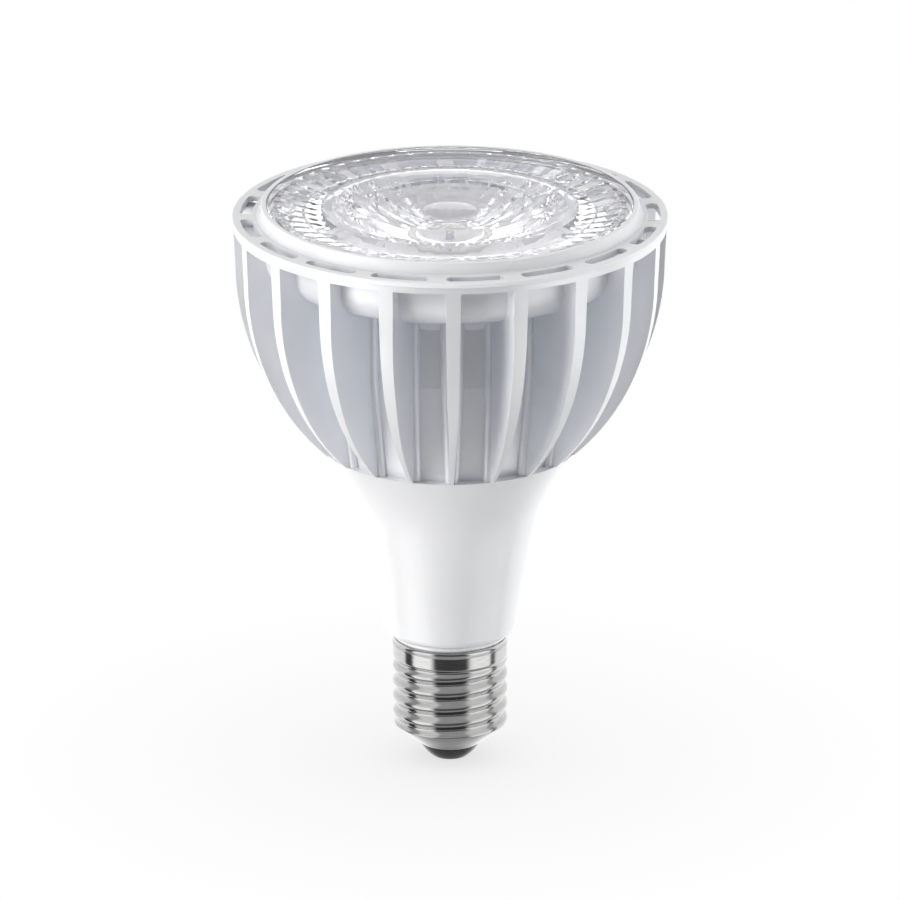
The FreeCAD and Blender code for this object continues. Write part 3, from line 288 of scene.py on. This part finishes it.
def band(low, high, columns):
    """Faces between two rows of points round Z."""
    faces = []
    for column in range(columns):
        after = (column + 1) % columns
        faces.append((
            low * columns + column,
            low * columns + after,
            high * columns + after,
            high * columns + column,
        ))
    return faces


def surface(name, rows, columns, point, material, joined):
    """A smooth, closed piece of rows of points round Z. point(row, column)
    gives a place in metres. The last row meets the first where the rows are
    joined, and one face closes each end where they aren't."""
    verts = [point(row, column) for row in range(rows) for column in range(columns)]
    faces = []
    for row in range(rows - 1):
        faces += band(row, row + 1, columns)
    if joined:
        faces += band(rows - 1, 0, columns)
    else:
        faces.append(tuple(reversed(range(columns))))
        faces.append(tuple((rows - 1) * columns + column for column in range(columns)))
    mesh = bpy.data.meshes.new(name)
    mesh.from_pydata(verts, [], faces)
    mesh.polygons.foreach_set("use_smooth", [True] * len(mesh.polygons))
    mesh.materials.append(material)
    mesh.validate()
    mesh.update()
    return placed(name, mesh)


def polar(radius, angle, height):
    """A place in metres from millimetres round the axis."""
    return (radius * MM * math.cos(angle), radius * MM * math.sin(angle), height * MM)


def spread(points, step):
    """Points along a polyline at steps of about this length."""
    places = [points[0]]
    for start, end in zip(points, points[1:]):
        count = max(1, round(math.dist(start, end) / step))
        for index in range(1, count + 1):
            share = index / count
            places.append(tuple(a + (b - a) * share for a, b in zip(start, end)))
    return places


def smoothstep(low, high, x):
    """Rises smoothly from 0 at low to 1 at high."""
    share = min(1.0, max(0.0, (x - low) / (high - low)))
    return share * share * (3.0 - 2.0 * share)


# Screw cap, in millimetres and heights above the ground: the rolled thread as a
# smooth wave, with its end cone below and its plain band and lip above.
CAP_R = 13.1
ROOT_R = CAP_R - 0.95
SHEET = 0.3
PITCH = 3.629
CREST_Z = 5.78
CREST_POWER = 0.85      # under 1 the crests are wider than the roots
CONE_Z = 3.6
CONE_R = 6.8
CONE_BULGE = 0.35       # how far the cone stands out at its top
THREAD_Z = 8.3
RUN_OUT = 2.4           # the cone trims the thread up to this far above it
BAND_Z = 24.6
BAND_BELOW = 0.9        # the thread fades into the band over these two
BAND_ABOVE = 0.7
RIM_Z = 29.4
LIP_H = 1.5
LIP_DIP = 0.3
LIP_IN = 0.1
CAP_COLUMNS = 288
CAP_STEP = 0.12


def cap_radius(height, angle):
    """Outer radius of the cap shell, in millimetres."""
    phase = (height - CREST_Z - PITCH * angle / math.tau) / PITCH
    wave = (0.5 + 0.5 * math.cos(math.tau * phase)) ** CREST_POWER
    thread = ROOT_R + (CAP_R - ROOT_R) * wave
    radius = thread + (CAP_R - thread) * smoothstep(BAND_Z - BAND_BELOW, BAND_Z + BAND_ABOVE, height)
    if height < THREAD_Z + RUN_OUT:
        cone = CONE_R + (ROOT_R - CONE_R) * (height - CONE_Z) / (THREAD_Z - CONE_Z)
        cone += CONE_BULGE * smoothstep(CONE_Z, THREAD_Z, height)
        radius = min(radius, max(cone, CONE_R))
    if height > RIM_Z - LIP_H:
        share = (height - (RIM_Z - LIP_H)) / LIP_H
        radius = CAP_R - LIP_DIP * math.sin(math.pi * min(1.0, share)) - LIP_IN * share
    return radius


def cap_skin(material):
    """The cap's shell of thin sheet: up its outside, and down its inside."""
    heights = [place[0] for place in spread([(CONE_Z,), (RIM_Z,)], CAP_STEP)]
    outside = [(height, 0.0) for height in heights]
    inside = [(height, SHEET) for height in reversed(heights)]
    rows = outside + inside

    def point(row, column):
        angle = math.tau * column / CAP_COLUMNS
        height, inward = rows[row]
        return polar(cap_radius(height, angle) - inward, angle, height)

    piece = surface("cap_shell_rolled", len(rows), CAP_COLUMNS, point, material, joined=True)
    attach(piece, "root")
    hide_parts("cap_shell")


# Lens, in millimetres.
LENS_R = 41.1
LENS_FLANGE_R = 42.55
OUTER_FLUTES = 54
CONE_FLUTES = 30
LENS_COLUMNS = 720
LENS_STEP = 0.6
LENS_CREASE = math.radians(20.0)

# Depth of the outer flutes, as shares of the profile's, and what makes some
# parts of the ring deeper than others: share, waves round the axis, phase.
FLUTE_DEPTH = 0.6
FLUTE_WAVES = [(0.25, 3, 0.7), (0.15, 11, 0.0)]

# The lens's outline, from the middle of its back round to the middle of its
# front. Each row: radius, depth below the front face, depth of the outer
# flutes, and how far the cone's flutes go in and out.
LENS_PROFILE = [
    # Well over the light source, and its foot
    (2.5, 12.2, 0.0, 0.0),
    (5.0, 13.0, 0.0, 0.0),
    (7.0, 15.0, 0.0, 0.0),
    (7.4, 25.8, 0.0, 0.0),
    (7.6, 26.2, 0.0, 0.0),
    (9.2, 26.2, 0.0, 0.0),
    # Fluted cone
    (9.6, 26.1, 0.0, 0.1),
    (13.2, 22.4, 0.0, 0.4),
    (16.8, 18.0, 0.0, 0.5),
    (19.8, 13.6, 0.0, 0.5),
    (22.4, 9.4, 0.0, 0.5),
    (24.6, 5.6, 0.0, 0.3),
    (26.4, 2.6, 0.0, 0.0),
    # Fluted ring behind the face
    (28.6, 2.6, 0.0, 0.0),
    (29.0, 2.7, 0.1, 0.0),
    (32.6, 6.7, 0.2, 0.0),
    (33.2, 6.7, 0.4, 0.0),
    (35.0, 5.4, 0.5, 0.0),
    (37.0, 4.0, 0.4, 0.0),
    (38.6, 2.6, 0.2, 0.0),
    # Rim and the flange that it stands on
    (39.7, 2.6, 0.0, 0.0),
    (39.8, 8.8, 0.0, 0.0),
    (LENS_FLANGE_R, 8.8, 0.0, 0.0),
    (LENS_FLANGE_R, 7.2, 0.0, 0.0),
    (LENS_R, 7.1, 0.0, 0.0),
    (LENS_R, 0.3, 0.0, 0.0),
    # Front face
    (LENS_R - 0.3, 0.0, 0.0, 0.0),
    (28.0, 0.0, 0.0, 0.0),
    (19.2, 0.0, 0.0, 0.0),
    # Rings in the shallow dish, and the bull's eye
    (18.5, 0.4, 0.0, 0.0),
    (17.4, 0.2, 0.0, 0.0),
    (16.6, 0.95, 0.0, 0.0),
    (16.2, 0.5, 0.0, 0.0),
    (13.6, 0.55, 0.0, 0.0),
    (12.6, 1.5, 0.0, 0.0),
    (12.0, 1.0, 0.0, 0.0),
    (9.4, 1.42, 0.0, 0.0),
    (9.1, 1.72, 0.0, 0.0),
    (8.7, 1.56, 0.0, 0.0),
    (6.8, 1.72, 0.0, 0.0),
    (6.4, 1.9, 0.0, 0.0),
    (6.0, 1.5, 0.0, 0.0),
    (5.0, 1.15, 0.0, 0.0),
    (3.4, 0.8, 0.0, 0.0),
    (1.6, 0.6, 0.0, 0.0),
]


def zigzag(angle, count):
    """Between -1 and 1, count times round the axis."""
    share = (angle * count / math.tau) % 1.0
    return abs(2.0 * share - 1.0) * 2.0 - 1.0


def uneven(angle):
    """The outer flutes' depth at an angle, as a share of the profile's."""
    waves = sum(share * math.sin(count * angle + phase) for share, count, phase in FLUTE_WAVES)
    return FLUTE_DEPTH + waves


def lens_optic(material):
    """The lens with its flutes and rings."""
    rows = spread(LENS_PROFILE, LENS_STEP)

    def point(row, column):
        angle = math.tau * column / LENS_COLUMNS
        radius, depth, outer, cone = rows[row]
        depth += outer * uneven(angle) * zigzag(angle, OUTER_FLUTES)
        radius += cone * zigzag(angle, CONE_FLUTES)
        return polar(radius, angle, LENS_TOP - depth)

    piece = surface("lens_optic", len(rows), LENS_COLUMNS, point, material, joined=False)
    piece.data.set_sharp_from_angle(angle=LENS_CREASE)
    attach(piece, "root")
    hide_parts("lens")


# Finishes. Each has its darker tone, its lighter tone and its roughness.
# The heat sink's paint gets painted shade, a cool grey, in the channels between its fins.
WHITE_PAINT = painted(
    "white_paint", (0.88, 0.885, 0.90), (0.91, 0.915, 0.93), (0.30, 0.40),
    coat=0.3, metallic=0.28, painted_shade=(14.0 * MM, (0.89, 0.905, 0.935)),
)
brighten_inside(WHITE_PAINT)
# The ring's paint gets painted shade, a darker grey, inside its slots.
WHITE_RING = painted(
    "white_ring", (0.88, 0.88, 0.885), (0.90, 0.90, 0.905), (0.28, 0.38),
    coat=0.2, painted_shade=(4.0 * MM, (0.52, 0.53, 0.56)),
)
WHITE_NECK = painted(
    "white_neck", (0.84, 0.84, 0.85), (0.86, 0.86, 0.87), (0.26, 0.34),
    relief=0.0015 * MM, coat=1.0,
)
NICKEL = metal(
    "nickel", (0.50, 0.50, 0.50), (0.58, 0.58, 0.575), (0.10, 0.18), stretch=(1.0, 1.0, 8.0),
)
BLACK = painted(
    "black_insulator", (0.010, 0.010, 0.010), (0.020, 0.020, 0.020), (0.15, 0.3), coat=0.4,
)
STEEL = metal("zinc_steel", (0.55, 0.55, 0.56), (0.68, 0.68, 0.70), (0.28, 0.42))
TINNED = metal("tinned_contact", (0.55, 0.54, 0.50), (0.70, 0.69, 0.66), (0.25, 0.40))
ALUMINIUM = metal("bright_aluminium", (0.78, 0.78, 0.79), (0.86, 0.86, 0.87), (0.2, 0.3))
LENS_CLEAR = clear_plastic()
PHOSPHOR = painted(
    "phosphor", (0.84, 0.74, 0.42), (0.88, 0.79, 0.48), (0.35, 0.5), relief=0.02 * MM,
)

FINISHES = {
    "lens": LENS_CLEAR,
    "front_ring": WHITE_RING,
    "heatsink": WHITE_PAINT,
    "neck_housing": WHITE_NECK,
    "cap_shell": NICKEL,
    "cap_insulator": BLACK,
    "centre_contact": TINNED,
    "cob_substrate": ALUMINIUM,
    "cob_phosphor": PHOSPHOR,
    "cob_holder_screws": STEEL,
    "neck_screws": STEEL,
}

# Finishes that only one hidden piece has.
INNER_FINISHES = {
    "cob_holder": ("holder_white", (0.82, 0.82, 0.80), (0.86, 0.86, 0.84), (0.4, 0.5)),
    "thermal_pad": ("thermal_pad", (0.40, 0.42, 0.45), (0.46, 0.48, 0.50), (0.7, 0.8)),
    "driver_board": ("board_green", (0.04, 0.16, 0.08), (0.06, 0.20, 0.10), (0.35, 0.5)),
    "transformer_core": ("ferrite", (0.05, 0.05, 0.055), (0.08, 0.08, 0.085), (0.6, 0.8)),
    "transformer_winding": ("winding_tape", (0.65, 0.50, 0.08), (0.75, 0.58, 0.12), (0.4, 0.5)),
    "input_capacitor": ("can_sleeve", (0.02, 0.02, 0.025), (0.04, 0.04, 0.045), (0.3, 0.4)),
    "output_capacitor": ("can_sleeve_small", (0.02, 0.02, 0.03), (0.04, 0.04, 0.05), (0.3, 0.4)),
    "film_capacitor": ("film_red", (0.35, 0.05, 0.04), (0.42, 0.08, 0.06), (0.25, 0.35)),
    "line_choke": ("choke_sleeve", (0.04, 0.09, 0.05), (0.06, 0.12, 0.07), (0.5, 0.6)),
    "fuse_resistor": ("resistor_lacquer", (0.20, 0.36, 0.48), (0.26, 0.42, 0.54), (0.3, 0.4)),
    "varistor": ("varistor_dip", (0.04, 0.10, 0.36), (0.06, 0.14, 0.42), (0.25, 0.35)),
    "rectifier": ("rectifier_case", (0.02, 0.02, 0.02), (0.035, 0.035, 0.035), (0.5, 0.6)),
    "control_chip": ("chip_case", (0.02, 0.02, 0.02), (0.035, 0.035, 0.035), (0.5, 0.6)),
    "led_lead_red": ("lead_red", (0.45, 0.02, 0.02), (0.52, 0.04, 0.03), (0.4, 0.5)),
    "led_lead_black": ("lead_black", (0.015, 0.015, 0.015), (0.03, 0.03, 0.03), (0.4, 0.5)),
    "mains_lead_live": ("lead_brown", (0.16, 0.06, 0.03), (0.20, 0.08, 0.04), (0.4, 0.5)),
    "mains_lead_neutral": ("lead_blue", (0.03, 0.08, 0.32), (0.05, 0.11, 0.38), (0.4, 0.5)),
}

for node_name, finish in FINISHES.items():
    dress(node_name, finish)
for node_name, tones in INNER_FINISHES.items():
    dress(node_name, painted(*tones))
cap_skin(NICKEL)
lens_optic(LENS_CLEAR)


def camera():
    """Far, long-lens view from 18 degrees above, as the photograph's."""
    distance = 2.5
    raise_angle = math.radians(18.2)
    aim_drop = 56.0 * MM
    data = bpy.data.cameras.new("camera")
    data.sensor_width = 36.0
    data.lens = 445.9
    data.clip_start = 0.1
    data.clip_end = 20.0
    item = placed("camera", data)
    height = FRONT_Z + distance * math.sin(raise_angle)
    item.location = (0.0, -distance * math.cos(raise_angle), height)
    aimed(item, (0.0, 0.0, FRONT_Z - aim_drop))
    SCENE.camera = item


LAMP_TARGET = (0.0, 0.0, 0.07)
LAMP_DISTANCE = 0.9


def softbox(name, place, size, power, colour=WHITE):
    """A rectangular lamp, aimed at the object. Mirrors don't show it."""
    data = bpy.data.lights.new(name, "AREA")
    data.shape = "RECTANGLE"
    data.size, data.size_y = size
    data.energy = power
    data.color = colour
    item = placed(name, data)
    item.location = place
    aimed(item, LAMP_TARGET)
    item.visible_glossy = False


def beside(azimuth, height):
    """A place beside the object. Azimuth 0 is the camera's side, and a
    positive one is to the camera's right."""
    angle = math.radians(azimuth)
    return (LAMP_DISTANCE * math.sin(angle), -LAMP_DISTANCE * math.cos(angle), height)


def lights():
    """Key lamp on the left, fill lamp on the right and a weak one above."""
    softbox("key_left", beside(-57, 0.30), size=(0.50, 0.8), power=8.3, colour=(1.0, 0.99, 0.98))
    softbox("fill_right", beside(92, 0.25), size=(0.50, 0.7), power=5.8)
    softbox("top", (0.0, 0.15, 1.0), size=(0.7, 0.7), power=2.4)


# What matt surfaces see.
MATT_TONE = (0.93, 0.965, 1.0)
MATT_LIGHT = 0.24

# What the clear lens lets through: grey from the camera's side, white from
# behind the object. The turn between them is a share of the way from one to
# the other.
LENS_NEAR_TONE = (0.80, 0.80, 0.824)
LENS_FAR_TONE = WHITE
LENS_TURN = (0.15, 0.40)
LENS_LIGHT = 1.37

# What mirrors see round the object, as azimuth in degrees and share of
# STUDIO_LIGHT: white behind it, a softbox on each side with a dark strip beyond
# it, and dark in front.
STUDIO_LIGHT = 1.5
STUDIO = [
    (-180, 0.80), (-104, 0.80), (-99, 0.04), (-83, 0.04), (-77, 1.00), (-40, 1.00), (-30, 0.05),
    (34, 0.05), (44, 0.90), (87, 0.90), (91, 0.10), (99, 0.10), (106, 0.80), (180, 0.80),
]

# Ceiling and ground in those mirrors: tone, how far it covers what is round the
# object, and the upward part of the direction at which it starts and is full.
CEILING = (0.42, 0.65, -0.1, 0.5)
GROUND = (0.24, 1.0, -0.55, -0.85)


def background(nodes, links, colour, strength):
    """A background in a colour, which is a socket or an opaque colour."""
    shade = nodes.new("ShaderNodeBackground")
    shade.inputs["Strength"].default_value = strength
    feed(links, colour, shade.inputs["Color"])
    return shade.outputs["Background"]


def covered(nodes, links, colour, upward, tone, share, start, full):
    """The colour, mixed with a grey as the direction turns up or down."""
    turn = mapped(nodes, links, upward, (start, full), (0.0, share))
    return mixed_colour(nodes, links, turn, colour, opaque(grey(tone)))


def studio(nodes, links, sideways, backward, upward):
    """The background that STUDIO gives in a direction from the object, with
    a pale ceiling and a grey ground."""
    frontward = calculated(nodes, links, "MULTIPLY", backward, -1.0)
    azimuth = calculated(nodes, links, "ARCTAN2", sideways, frontward)
    ramp = nodes.new("ShaderNodeValToRGB")
    links.new(mapped(nodes, links, azimuth, (-math.pi, math.pi)), ramp.inputs["Fac"])
    stops = ramp.color_ramp.elements
    first, last = stops
    first.color = opaque(grey(STUDIO[0][1]))
    last.color = opaque(grey(STUDIO[-1][1]))
    for angle, level in STUDIO[1:-1]:
        stop = stops.new(angle / 360 + 0.5)
        stop.color = opaque(grey(level))
    colour = covered(nodes, links, ramp.outputs["Color"], upward, *CEILING)
    colour = covered(nodes, links, colour, upward, *GROUND)
    return background(nodes, links, colour, STUDIO_LIGHT)


def through_lens(nodes, links, backward):
    """The background that the clear lens lets through."""
    way = mapped(nodes, links, backward, (-1.0, 1.0))
    tones = two_tones(nodes, links, way, LENS_NEAR_TONE, LENS_FAR_TONE, *LENS_TURN)
    return background(nodes, links, tones, LENS_LIGHT)


def world():
    """White to the camera. Mirrors see the studio round the object, the clear
    lens a paler one, and matt surfaces an even grey."""
    scene_world = bpy.data.worlds.new("studio")
    SCENE.world = scene_world
    scene_world.use_nodes = True
    nodes = scene_world.node_tree.nodes
    links = scene_world.node_tree.links
    nodes.clear()
    place = nodes.new("ShaderNodeTexCoord")
    split = nodes.new("ShaderNodeSeparateXYZ")
    links.new(place.outputs["Generated"], split.inputs["Vector"])
    path = nodes.new("ShaderNodeLightPath")
    shown = background(nodes, links, opaque(MATT_TONE), MATT_LIGHT)
    for ray, seen in (
        ("Is Glossy Ray", studio(nodes, links, *split.outputs)),
        ("Is Transmission Ray", through_lens(nodes, links, split.outputs["Y"])),
        ("Is Camera Ray", background(nodes, links, opaque(WHITE), 1.0)),
    ):
        shown = mixed_shader(nodes, links, path.outputs[ray], shown, seen)
    output = nodes.new("ShaderNodeOutputWorld")
    links.new(shown, output.inputs["Surface"])


FLOOR_REACH = 6.0
FLOOR_CORNERS = [(-1, -1), (1, -1), (1, 1), (-1, 1)]
SHADOW_REACH = 0.10
SHADOW_TONE = 0.70


def floor():
    """Pale floor. It shows white to the camera, with a faint shadow under the
    object, and leaves mirrors the studio round it."""
    mesh = bpy.data.meshes.new("floor")
    corners = [(x * FLOOR_REACH, y * FLOOR_REACH, 0.0) for x, y in FLOOR_CORNERS]
    mesh.from_pydata(corners, [], [(0, 1, 2, 3)])
    material, nodes, links, shader = node_tree("floor_white")
    mesh.materials.append(material)
    shader.inputs["Base Color"].default_value = opaque(grey(0.9))
    shader.inputs["Roughness"].default_value = 0.8
    path = nodes.new("ShaderNodeLightPath")
    near = nodes.new("ShaderNodeAmbientOcclusion")
    near.inputs["Distance"].default_value = SHADOW_REACH
    white = nodes.new("ShaderNodeEmission")
    shadow = mapped(nodes, links, near.outputs["AO"], onto=(SHADOW_TONE, 1.0))
    links.new(shadow, white.inputs["Strength"])
    clear = nodes.new("ShaderNodeBsdfTransparent")
    shown = shader.outputs["BSDF"]
    for ray, seen in (
        ("Is Camera Ray", white.outputs["Emission"]),
        ("Is Glossy Ray", clear.outputs["BSDF"]),
    ):
        shown = mixed_shader(nodes, links, path.outputs[ray], shown, seen)
    links.new(shown, nodes["Material Output"].inputs["Surface"])
    placed("floor", mesh)


SCENE.view_settings.view_transform = "Standard"
# Enough for light that goes through the lens, its cone and back
SCENE.cycles.max_bounces = 20
SCENE.cycles.glossy_bounces = 12
SCENE.cycles.transmission_bounces = 16
camera()
lights()
world()
floor()
